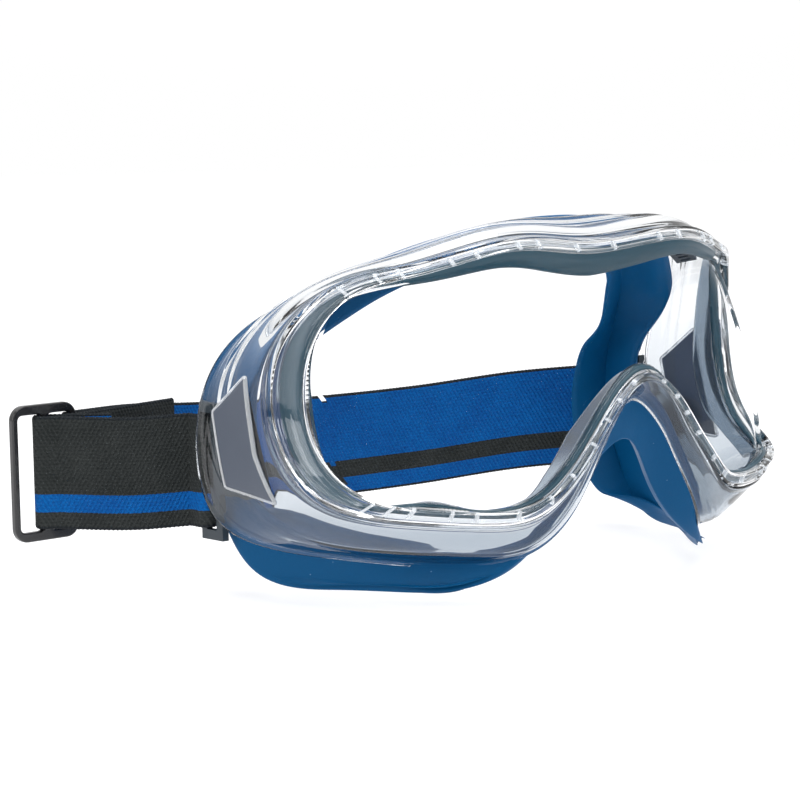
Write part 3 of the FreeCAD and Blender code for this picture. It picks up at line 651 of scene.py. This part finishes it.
def lensPiece():
    edge = lifted(0.25, np.full(ringCount, -lens["depth"]))
    half = ringCount // 2
    # Pairs of places above and below run from the wearer's left side over to the right.
    pairs = 120
    sideUp, sideDown = 0.205, 0.215
    columns = []
    across = np.linspace(0, 1, pairs)
    upPlaces = np.interp(across, [0, 1], [0.0, sideUp])
    downPlaces = np.interp(across, [0, 1], [0.5, sideDown])

    def edgeAt(place):
        spot = place * ringCount
        low = np.floor(spot).astype(int)
        share = (spot - low)[:, None]
        return edge[low % ringCount] * (1 - share) + edge[(low + 1) % ringCount] * share

    # Slide the lower places so that each pair stands nearly upright.
    fine = np.linspace(0.5, sideDown, 400)
    fineEdge = edgeAt(fine)
    upEdge = edgeAt(upPlaces)
    downEdge = []
    start = 0
    for i in range(pairs):
        wanted = upEdge[i][0]
        reachable = np.abs(fineEdge[:, 0] - wanted) + np.where(np.arange(400) < start, 50, 0)
        start = int(np.argmin(reachable))
        downEdge.append(fineEdge[start])
    downEdge = np.array(downEdge)
    kernel = np.ones(9) / 9
    for k in range(3):
        padded = np.concatenate([np.repeat(downEdge[:1, k], 4), downEdge[:, k], np.repeat(downEdge[-1:, k], 4)])
        downEdge[:, k] = np.convolve(padded, kernel, "valid")
    rowShare = np.linspace(0, 1, lens["rowCount"])
    grid = []
    for i in range(pairs):
        reach = abs(upEdge[i][0]) / 86
        bulge = lens["centreBulge"] + (lens["sideBulge"] - lens["centreBulge"]) * reach ** 2
        nothing = np.zeros_like(rowShare)
        push = np.stack([nothing, -bulge * np.sin(math.pi * rowShare), nothing], 1)
        grid.append(upEdge[i] + (downEdge[i] - upEdge[i]) * rowShare[:, None] + push)
    grid = np.array(grid)
    mirror = grid[:0:-1] * [-1, 1, 1]
    return np.concatenate([mirror, grid])


def paneSolid(name, grid, wall):
    wide, tall = grid.shape[:2]
    across = np.gradient(grid, axis=0)
    down = np.gradient(grid, axis=1)
    normal = unit(np.cross(across, down))
    if normal[wide // 2, tall // 2, 1] > 0:
        normal = -normal
    points = np.concatenate([grid.reshape(-1, 3), (grid - normal * wall).reshape(-1, 3)])
    faces = []
    for i in range(wide - 1):
        for k in range(tall - 1):
            a, b = i * tall + k, (i + 1) * tall + k
            faces.append((a, a + 1, b + 1, b))
            c = wide * tall
            faces.append((c + a, c + b, c + b + 1, c + a + 1))
    rim = [i * tall for i in range(wide)] + [(wide - 1) * tall + k for k in range(1, tall)]
    rim += [i * tall + tall - 1 for i in range(wide - 2, -1, -1)] + [k for k in range(tall - 2, 0, -1)]
    for a, b in zip(rim, rim[1:] + rim[:1]):
        faces.append((a, b, b + wide * tall, a + wide * tall))
    made = faceOutward(makeObject(name, points, faces))
    smoothByAngle(made, 50)
    return made


dress(paneSolid("lensPane", lensPiece(), lens["wall"]), lensPlastic, "goggle_frame", "lens", "lens")
print("gasket and lens made")


# Face seal: its tongue inside the shell, a soft wall, a rolled edge and a wide inner lip.
seal = {"wall": 1.6, "fit": 0.45, "pocket": 7.2}
pocketShare = aroundValue([0, 0, 0, 0, 0.4, 0.9, 1, 1, 0.8, 0.3, 0, 0, 0, 0, 0, 0])
lipWidth = aroundValue([8, 8, 9, 10, 12, 14, 15, 15, 12, 8, 5, 3, 3, 3.5, 4, 5])
lipLean = aroundValue([1.2, 0.8, 0.2, 0, 0, 0, 0, 0.2, 0.7, 1.5, 3, 3, 3, 3, 2, 2])
bulgeHeight = aroundValue([0.6, 0.8, 1.6, 1.6, 1.0, 0.2, 0, 0, 0.4, 0.9, 0.8, 0.8, 0.8, 0.6, 0.3, 0.3])


def sealPiece():
    normal = surfaceNormal(2.97)
    inset = seal["fit"] + shell["wall"] + pocketShare * seal["pocket"]
    rear = surfacePoint(2.98) - normal * inset[:, None]
    forward = surfacePoint(2.4) - surfacePoint(2.98)
    tongue = rear + forward * 0.75 - normal * 0.2
    face = rings["face"]
    inward = inwardDirections(face)
    lipDirection = unit(inward + np.stack([np.zeros(ringCount), lipLean, np.zeros(ringCount)], 1))
    wallLoops = [tongue, tongue * 0.5 + rear * 0.5, rear]
    for share in (0.2, 0.4, 0.6, 0.8, 0.92):
        swell = bulgeHeight * math.sin(math.pi * share)
        wallLoops.append(rear + (face - rear) * share + normal * swell[:, None])
    wallDirection = unit(face - rear)
    # A small round at the face edge, then the lip, whose last part curls forward a little.
    wallLoops.append(face - wallDirection * 0.35 + lipDirection * 0.02)
    wallLoops.append(face + lipDirection * 0.35)
    for share in (0.12, 0.3, 0.5, 0.7, 0.88, 1.0):
        curl = np.stack([np.zeros(ringCount), -lipWidth * 0.10 * share ** 2, np.zeros(ringCount)], 1)
        wallLoops.append(face + lipDirection * (lipWidth * share)[:, None] + curl)
    outer = np.array(wallLoops)
    normals = sheetNormals(outer)
    if np.mean(np.sum(normals[2] * normal, axis=1)) < 0:
        normals = -normals
    thick = np.full(len(outer), seal["wall"])
    thick[-1] = 0.5
    thick[-2] = 1.0
    thick[-3] = 1.3
    inner = outer - normals * thick[:, None, None]
    return closedBand("faceSeal", list(outer) + list(inner[::-1]))


dress(sealPiece(), sealFinish, "goggle_frame", "seal", "face_seal")
print("seal made")


# Temple panels: a slate plate on the shell's side with a clear bevelled border.
panel = {
    "outline": [(-2.6, 14), (11.0, 4), (6.5, -15.5), (-11.9, -18), (-5.9, -6), (-3.9, 5)],
}


def sideSurface():
    # The shell's outer surface as one sheet, for finding where a line from the side meets it.
    sheet = [lifted(place, np.full(ringCount, 0.35)) for place in np.linspace(1.0, 3.0, 50)]
    faces = []
    for i in range(len(sheet) - 1):
        for j in range(ringCount):
            k = (j + 1) % ringCount
            here, ahead = i * ringCount, (i + 1) * ringCount
            faces.append((here + j, here + k, ahead + k, ahead + j))
    return BVHTree.FromPolygons(np.concatenate(sheet).tolist(), faces)


sideTree = sideSurface()


def sidePoint(y, z):
    hit = sideTree.ray_cast(Vector((200, y, z)), Vector((-1, 0, 0)))[0]
    return np.array(hit)


def roundedOutline(corners, radius, steps=5, run=1.2):
    corners = np.array(corners, float)
    made = []
    for i in range(len(corners)):
        before, here, after = corners[i - 1], corners[i], corners[(i + 1) % len(corners)]
        toBefore, toAfter = before - here, after - here
        cut = min(radius, np.linalg.norm(toBefore) * 0.4, np.linalg.norm(toAfter) * 0.4)
        start = here + unit(toBefore[None])[0] * cut
        end = here + unit(toAfter[None])[0] * cut
        for k in range(steps + 1):
            t = k / steps
            made.append(start * (1 - t) ** 2 + here * 2 * t * (1 - t) + end * t ** 2)
        nextCut = min(radius, np.linalg.norm(toAfter) * 0.4)
        length = np.linalg.norm(toAfter) - cut - nextCut
        pieces = max(1, int(length / run))
        finish = after - unit(toAfter[None])[0] * nextCut
        for k in range(1, pieces):
            made.append(end + (finish - end) * k / pieces)
    return np.array(made)


def panelPieces(side, label):
    outline = roundedOutline(panel["outline"], 0.8)
    centre = outline.mean(0)
    count = len(outline)

    def loop(distanceIn, height):
        ring = insetLoop(outline, centre, distanceIn)
        base = np.array([sidePoint(y, z) for y, z in ring])
        return base * [side, 1, 1] + np.array([side * height, 0, 0])

    # The clear border: a raised rounded frame.
    sections = [(-0.5, -0.5), (-0.5, 0.05), (-0.35, 0.5), (-0.15, 0.65), (0.05, 0.65), (0.25, 0.5),
                (0.35, 0.35), (0.35, -0.5)]
    border = closedBand(label + "PanelBorder", [loop(d, h) for d, h in sections])
    # The plate: rings that run in to its middle.
    loops = [loop(0.35, -0.6), loop(0.35, 0.35), loop(0.55, 0.5)]
    for share in (0.12, 0.25, 0.4, 0.55, 0.7, 0.85):
        ring = outline + (centre - outline) * share
        base = np.array([sidePoint(y, z) for y, z in ring])
        loops.append(base * [side, 1, 1] + np.array([side * 0.5, 0, 0]))
    middle = np.array([sidePoint(*centre)]) * [side, 1, 1] + np.array([[side * 0.5, 0, 0]])
    points = np.concatenate(loops + [middle])
    faces = []
    for i in range(len(loops) - 1):
        for j in range(count):
            k = (j + 1) % count
            faces.append((i * count + j, i * count + k, (i + 1) * count + k, (i + 1) * count + j))
    last = (len(loops) - 1) * count
    tip = len(points) - 1
    faces += [(last + j, last + (j + 1) % count, tip) for j in range(count)]
    # Back face on the same rim.
    faces.append(tuple(range(count))[::-1])
    plate = faceOutward(makeObject(label + "TemplePanel", points, faces))
    smoothByAngle(plate, 40)
    return border, plate


def insetLoop(outline, centre, distance):
    count = len(outline)
    along = np.roll(outline, -1, 0) - np.roll(outline, 1, 0)
    normal = unit(np.stack([-along[:, 1], along[:, 0]], 1))
    if np.mean(np.sum(normal * (centre - outline), axis=1)) < 0:
        normal = -normal
    return outline + normal * distance


for side, label, owner in ((-1, "right", "right_temple_panel"), (1, "left", "left_temple_panel")):
    border, plate = panelPieces(side, label)
    dress(plate, panelFinish, "goggle_frame", "panel", owner)
    dress(border, frostedPlastic, "goggle_frame", "rim")
print("temple panels made")


# Webbing: a strip along a line of points, with rounded ribbed edges and its own length and width as a map.
web = {"width": 30.0, "wall": 1.35, "base": -28.0, "edgeBeat": 1.15, "edgeHeight": 0.16, "rows": 22}


def smoothLine(points, step):
    points = np.array(points, float)
    gaps = np.linalg.norm(np.diff(points, axis=0), axis=1) ** 0.5
    t = np.concatenate([[0], np.cumsum(gaps)])
    tangent = np.gradient(points, t, axis=0)
    fine = []
    for i in range(len(points) - 1):
        h = t[i + 1] - t[i]
        u = np.linspace(0, 1, 60, endpoint=False)[:, None]
        fine.append(points[i] * (2 * u ** 3 - 3 * u ** 2 + 1) + tangent[i] * h * (u ** 3 - 2 * u ** 2 + u)
                    + points[i + 1] * (3 * u ** 2 - 2 * u ** 3) + tangent[i + 1] * h * (u ** 3 - u ** 2))
    fine = np.concatenate(fine + [points[-1:]])
    return evenSteps(fine, step)


def evenSteps(line, step):
    run = np.concatenate([[0], np.cumsum(np.linalg.norm(np.diff(line, axis=0), axis=1))])
    count = max(4, int(round(run[-1] / step)))
    spots = np.linspace(0, run[-1], count + 1)
    return np.stack([np.interp(spots, run, line[:, k]) for k in range(3)], 1)


def webbing(name, line, outward, ripple=None, judgeAt=0.5):
    # line is the strip's middle line at its lower edge, and outward the outer face's side at judgeAt along it.
    along = unit(np.gradient(line, axis=0))
    side = unit(np.cross(along, [0, 0, 1]))
    if np.dot(side[int((len(line) - 1) * judgeAt)], outward) < 0:
        side = -side
    run = np.concatenate([[0], np.cumsum(np.linalg.norm(np.diff(line, axis=0), axis=1))])
    rowShares = np.concatenate([[0.0, 0.012, 0.03], np.linspace(0.07, 0.93, web["rows"]), [0.97, 0.988, 1.0]])
    halfWall = web["wall"] / 2
    points, lay = [], []
    for i in range(len(line)):
        beat = 0.5 + 0.5 * math.cos(2 * math.pi * run[i] / web["edgeBeat"])
        loop, mapRow = [], []
        for face in (1, -1):
            order = rowShares if face == 1 else rowShares[::-1]
            for share in order:
                edge = min(share, 1 - share)
                thin = math.sqrt(min(1.0, edge / 0.02)) * 0.75 + 0.25
                bulge = 0.0
                if edge < 0.04:
                    bulge = web["edgeHeight"] * (beat - 0.3)
                wave = 0.0
                if ripple is not None:
                    wave = ripple(run[i], share)
                stretch = share * web["width"]
                if edge == 0:
                    stretch += (1 if share > 0.5 else -1) * web["edgeHeight"] * beat
                offset = face * (halfWall * thin + bulge * 0.5) + wave
                loop.append(line[i] + side[i] * offset + np.array([0, 0, stretch]))
                mapRow.append((run[i] * mm, share if face == 1 else 1 + share))
        points.append(loop)
        lay.append(mapRow)
    points = np.array(points)
    count, section = points.shape[:2]
    faces, corners = [], []
    for i in range(count - 1):
        for j in range(section):
            k = (j + 1) % section
            faces.append((i * section + j, (i + 1) * section + j, (i + 1) * section + k, i * section + k))
            here, ahead = lay[i][j], lay[i + 1][j]
            corners.append((here, ahead, mapAfter(ahead, lay[i + 1][k]), mapAfter(here, lay[i][k])))
    for i in (0, count - 1):
        for j in range(section // 2 - 1):
            a, b = i * section + j, i * section + j + 1
            c, d = i * section + section - 2 - j, i * section + section - 1 - j
            face = (a, b, c, d)
            faces.append(face if i == 0 else face[::-1])
            spots = (lay[i][j], lay[i][j + 1], lay[i][j + 1], lay[i][j])
            corners.append(spots if i == 0 else spots[::-1])
    made = makeObject(name, points.reshape(-1, 3), faces)
    mapLayer = made.data.uv_layers.new(name="webbing")
    flat = np.array(corners, float).reshape(-1, 2)
    mapLayer.data.foreach_set("uv", flat.ravel())
    faceOutward(made)
    smoothByAngle(made, 60)
    return made


def mapAfter(first, second):
    # Keeps a face that turns over the edge on one face's side of the map.
    if abs(first[1] - second[1]) > 0.5:
        return (second[0], first[1])
    return second


def foldLine(centre, legs, radius, firstLeg, secondLeg, step=0.35):
    # A U of webbing round a bar: in along the first leg, half a turn, and out along the second.
    across = np.array([-legs[1], legs[0], 0.0])
    points = [centre + across * radius + legs * firstLeg, centre + across * radius]
    for k in range(1, 24):
        angle = math.pi * k / 24
        points.append(centre + across * radius * math.cos(angle) - legs * radius * math.sin(angle))
    points += [centre - across * radius, centre - across * radius + legs * secondLeg]
    return evenSteps(np.array(points), step)


def level(x, y, z=0.0):
    return np.array([x, y, web["base"] + z])


print("webbing tools ready")
strap = {"clipX": 80.7, "barY": 22.0, "clipFold": 2.21, "sliderFold": 2.15, "leg": 4.0, "tail": 18.0,
         "sewn": 38.0}
slider = {"x": -111.5, "y": 52.0, "z": -13.0, "width": 20.4, "height": 36.4, "wall": 2.0, "bar": 1.8,
          "slot": 31.2, "corner": 4.0}

for side, label in ((-1, "right"), (1, "left")):
    bar = level(side * strap["clipX"], strap["barY"])
    loopLine = foldLine(bar, np.array([0.0, 1.0, 0]), strap["clipFold"], strap["leg"], strap["leg"])
    made = webbing(label + "StrapLoop", loopLine, loopLine[0] - bar, judgeAt=0)
    dress(made, webFinish, "head_strap", "webbing", label + "_strap_loop")

legEnd = strap["barY"] + strap["leg"]
templeX = strap["clipX"] + strap["clipFold"]
middleBar = level(slider["x"], slider["y"])
reach = level(-templeX, legEnd) - middleBar
lean = math.asin(strap["sliderFold"] / np.linalg.norm(reach))
turned = np.array([reach[0] * math.cos(lean) - reach[1] * math.sin(lean),
                   reach[0] * math.sin(lean) + reach[1] * math.cos(lean), 0])
rightLegs = unit(turned[None])[0]
acrossRight = np.array([-rightLegs[1], rightLegs[0], 0.0])
rightEnd = middleBar - acrossRight * strap["sliderFold"] + rightLegs * strap["leg"]
rightStart = level(-templeX, legEnd)


def gentleRipple(size, beat, phase):
    return lambda run, share: size * math.sin(run / beat + phase + share * 2.2) * math.sin(math.pi * share)


rightMiddle = (rightStart * 0.55 + rightEnd * 0.45) + np.array([-0.4, -0.5, -0.7])
rightRun = smoothLine([rightStart, rightMiddle, rightEnd], 0.35)
outward = np.array([-0.63, -0.777, 0])
rightStrap = webbing("rightStrapRun", rightRun, outward, ripple=gentleRipple(0.15, 7.0, 0.3))
dress(rightStrap, webFinish, "head_strap", "webbing", "right_strap")
tailLine = foldLine(middleBar, rightLegs, strap["sliderFold"], strap["tail"], strap["leg"])
made = webbing("strapTail", tailLine, acrossRight, judgeAt=0)
dress(made, webFinish, "slider", "webbing", "strap_tail")

leftLegs = unit(np.array([[4.9, 1.0, 0.0]]))[0]
acrossLeft = np.array([-leftLegs[1], leftLegs[0], 0.0])
innerBar = level(slider["x"] + (slider["width"] - slider["bar"]) / 2, slider["y"])
leftStart = innerBar + acrossLeft * strap["sliderFold"] + leftLegs * strap["leg"]
leftRoute = [leftStart, level(-78.0, 59.5, -0.6), level(-55.9, 62.0, -2.4), level(-17.2, 63.4, -4.8),
             level(25.8, 58.0, -4.6), level(58.5, 45.0, -1.8), level(templeX, legEnd)]
leftRun = smoothLine(leftRoute, 0.45)
leftStrap = webbing("leftStrapRun", leftRun, np.array([0.0, 1.0, 0]), ripple=gentleRipple(0.35, 9.0, 0.6))
dress(leftStrap, webFinish, "head_strap", "webbing", "left_strap")
sewnLine = foldLine(innerBar, leftLegs, strap["sliderFold"], strap["leg"], strap["sewn"])
made = webbing("sewnStrapEnd", sewnLine, acrossLeft, judgeAt=0)
dress(made, webFinish, "slider", "webbing", "strap_sewn_end")
print("webbing made")


# Slider: a rounded frame with three bars, glossy and rounded at its edges.
def roundedRectangle(width, height, radius, steps=8):
    points = []
    for cx, cz, start in ((1, 1, 0), (-1, 1, 90), (-1, -1, 180), (1, -1, 270)):
        for k in range(steps + 1):
            angle = math.radians(start + 90 * k / steps)
            points.append((cx * (width / 2 - radius) + radius * math.cos(angle),
                           cz * (height / 2 - radius) + radius * math.sin(angle)))
    return np.array(points)


def sliderPiece():
    mesh = bpy.data.meshes.new("strapSlider")
    build = bmesh.new()
    outer = roundedRectangle(slider["width"], slider["height"], slider["corner"], 8)
    slotWidth = (slider["width"] - 3 * slider["bar"]) / 2
    shift = (slider["bar"] + slotWidth) / 2
    slots = [roundedRectangle(slotWidth, slider["slot"], 1.4, 4) + [dx, 0] for dx in (-shift, shift)]
    edges = []
    for ring in [outer] + slots:
        verts = [build.verts.new((x, 0, z)) for x, z in ring * mm]
        edges += [build.edges.new((a, b)) for a, b in zip(verts, verts[1:] + verts[:1])]
    bmesh.ops.triangle_fill(build, use_beauty=True, use_dissolve=False, edges=edges)
    bmesh.ops.dissolve_limit(build, angle_limit=0.01, verts=build.verts, edges=build.edges)
    faces = list(build.faces)
    extruded = bmesh.ops.extrude_face_region(build, geom=faces)
    moved = [v for v in extruded["geom"] if isinstance(v, bmesh.types.BMVert)]
    bmesh.ops.translate(build, verts=moved, vec=(0, slider["wall"] * mm, 0))
    bmesh.ops.recalc_face_normals(build, faces=build.faces)
    corner = (slider["x"] * mm, (slider["y"] - slider["wall"] / 2) * mm, slider["z"] * mm)
    bmesh.ops.translate(build, verts=build.verts, vec=corner)
    build.to_mesh(mesh)
    build.free()
    made = bpy.data.objects.new("strapSlider", mesh)
    scene.collection.objects.link(made)
    addBevel(made, 0.85, 5, 40)
    mesh.polygons.foreach_set("use_smooth", [True] * len(mesh.polygons))
    weighted = made.modifiers.new("evenShading", "WEIGHTED_NORMAL")
    weighted.keep_sharp = True
    return made


dress(sliderPiece(), sliderFinish, "slider", "slider", "strap_slider")

# The clips, pins and vents keep their moulded shapes from the model and take their own finishes.
for name, finish in (("strap_clip", clipFinish), ("clip_pin", clipFinish), ("top_vent", ventFinish)):
    for side in ("right_", "left_"):
        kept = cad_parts[side + name]
        kept.data.materials.clear()
        kept.data.materials.append(finish)


for piece, anchor, moving in ((rightStrap, rightStart, rightEnd), (leftStrap, leftRun[-1], leftStart)):
    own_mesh(piece)
print("pieces ride on their bodies")


# Floor, studio light and camera.
def floorPiece():
    radius, height = 4.0, -0.0465
    points = [(0, 0, height / mm)]
    segments = 96
    for k in range(segments):
        angle = 2 * math.pi * k / segments
        points.append((radius / mm * math.cos(angle), radius / mm * math.sin(angle), height / mm))
    faces = [(0, 1 + k, 1 + (k + 1) % segments) for k in range(segments)]
    made = makeObject("studioFloor", points, faces, smooth=False)
    material, tree, shader = newMaterial("paleFloor")
    shader.inputs["Base Color"].default_value = (0.42, 0.42, 0.43, 1)
    shader.inputs["Roughness"].default_value = 0.9
    shader.inputs["Specular IOR Level"].default_value = 0.0
    shader.inputs["Emission Color"].default_value = (1, 1, 1, 1)
    shader.inputs["Emission Strength"].default_value = 0.66
    made.data.materials.append(material)


floorPiece()


def softbox(name, place, target, width, height, watts, colour=(1, 1, 1)):
    light = bpy.data.lights.new(name, "AREA")
    light.shape = "RECTANGLE"
    light.size, light.size_y = width, height
    light.energy = watts
    light.color = colour
    made = bpy.data.objects.new(name, light)
    made.location = place
    made.rotation_euler = (Vector(target) - Vector(place)).to_track_quat("-Z", "Y").to_euler()
    scene.collection.objects.link(made)
    return made


softbox("overheadSoftbox", (0.0, -0.1, 1.3), (0, 0, 0), 1.4, 1.4, 16.0)
softbox("leftSoftbox", (-1.3, -0.3, 0.55), (0, 0, 0), 0.7, 1.0, 9.0)
softbox("frontFill", (0.4, -1.5, 0.7), (0, 0, 0), 0.9, 0.6, 6.0)

world = bpy.data.worlds.new("studioRoom")
world.use_nodes = True
scene.world = world
tree = world.node_tree
room = tree.nodes["Background"]
where = node(tree, "ShaderNodeTexCoord")
split = node(tree, "ShaderNodeSeparateXYZ")
tree.links.new(where.outputs["Generated"], split.inputs[0])
# The side behind the camera is a dim room, and the far side and ceiling are bright.
acrossRoom = maths(tree, "MULTIPLY", split.outputs[0], 0.668)
alongRoom = maths(tree, "MULTIPLY", split.outputs[1], 0.744)
facing = maths(tree, "ADD", acrossRoom, alongRoom)
glow = maths(tree, "ADD", maths(tree, "MULTIPLY", facing, 0.38), 0.62)
up = maths(tree, "MULTIPLY", maths(tree, "MAXIMUM", split.outputs[2], 0.0), 0.3)
brightness = maths(tree, "MAXIMUM", maths(tree, "ADD", glow, up), 0.12)
rays = node(tree, "ShaderNodeLightPath")
shown = maths(tree, "MAXIMUM", brightness, rays.outputs["Is Camera Ray"])
tree.links.new(shown, room.inputs["Strength"])
room.inputs["Color"].default_value = (1, 1, 1, 1)

view = {"yaw": 41.91, "pitch": 6.68, "roll": -0.99, "distance": 675.0, "target": (-49.0, -20.0, 5.9),
        "lens": 116.9}
yaw, pitch, roll = (math.radians(view[key]) for key in ("yaw", "pitch", "roll"))
forward = Vector((math.sin(yaw) * math.cos(pitch), math.cos(yaw) * math.cos(pitch), -math.sin(pitch)))
rightward = Vector((math.cos(yaw), -math.sin(yaw), 0))
upward = rightward.cross(forward)
turnedRight = math.cos(roll) * rightward + math.sin(roll) * upward
turnedUp = -math.sin(roll) * rightward + math.cos(roll) * upward
camera = bpy.data.objects.new("camera", bpy.data.cameras.new("camera"))
camera.data.lens = view["lens"]
camera.data.sensor_width = 36.0
camera.data.clip_start = 0.01
camera.data.clip_end = 20.0
spot = (Vector(view["target"]) - forward * view["distance"]) * mm
camera.matrix_world = Matrix.Translation(spot) @ Matrix((turnedRight, turnedUp, -forward)).transposed().to_4x4()
scene.collection.objects.link(camera)
scene.camera = camera
scene.view_settings.view_transform = "Standard"
print("floor, lights and camera set")
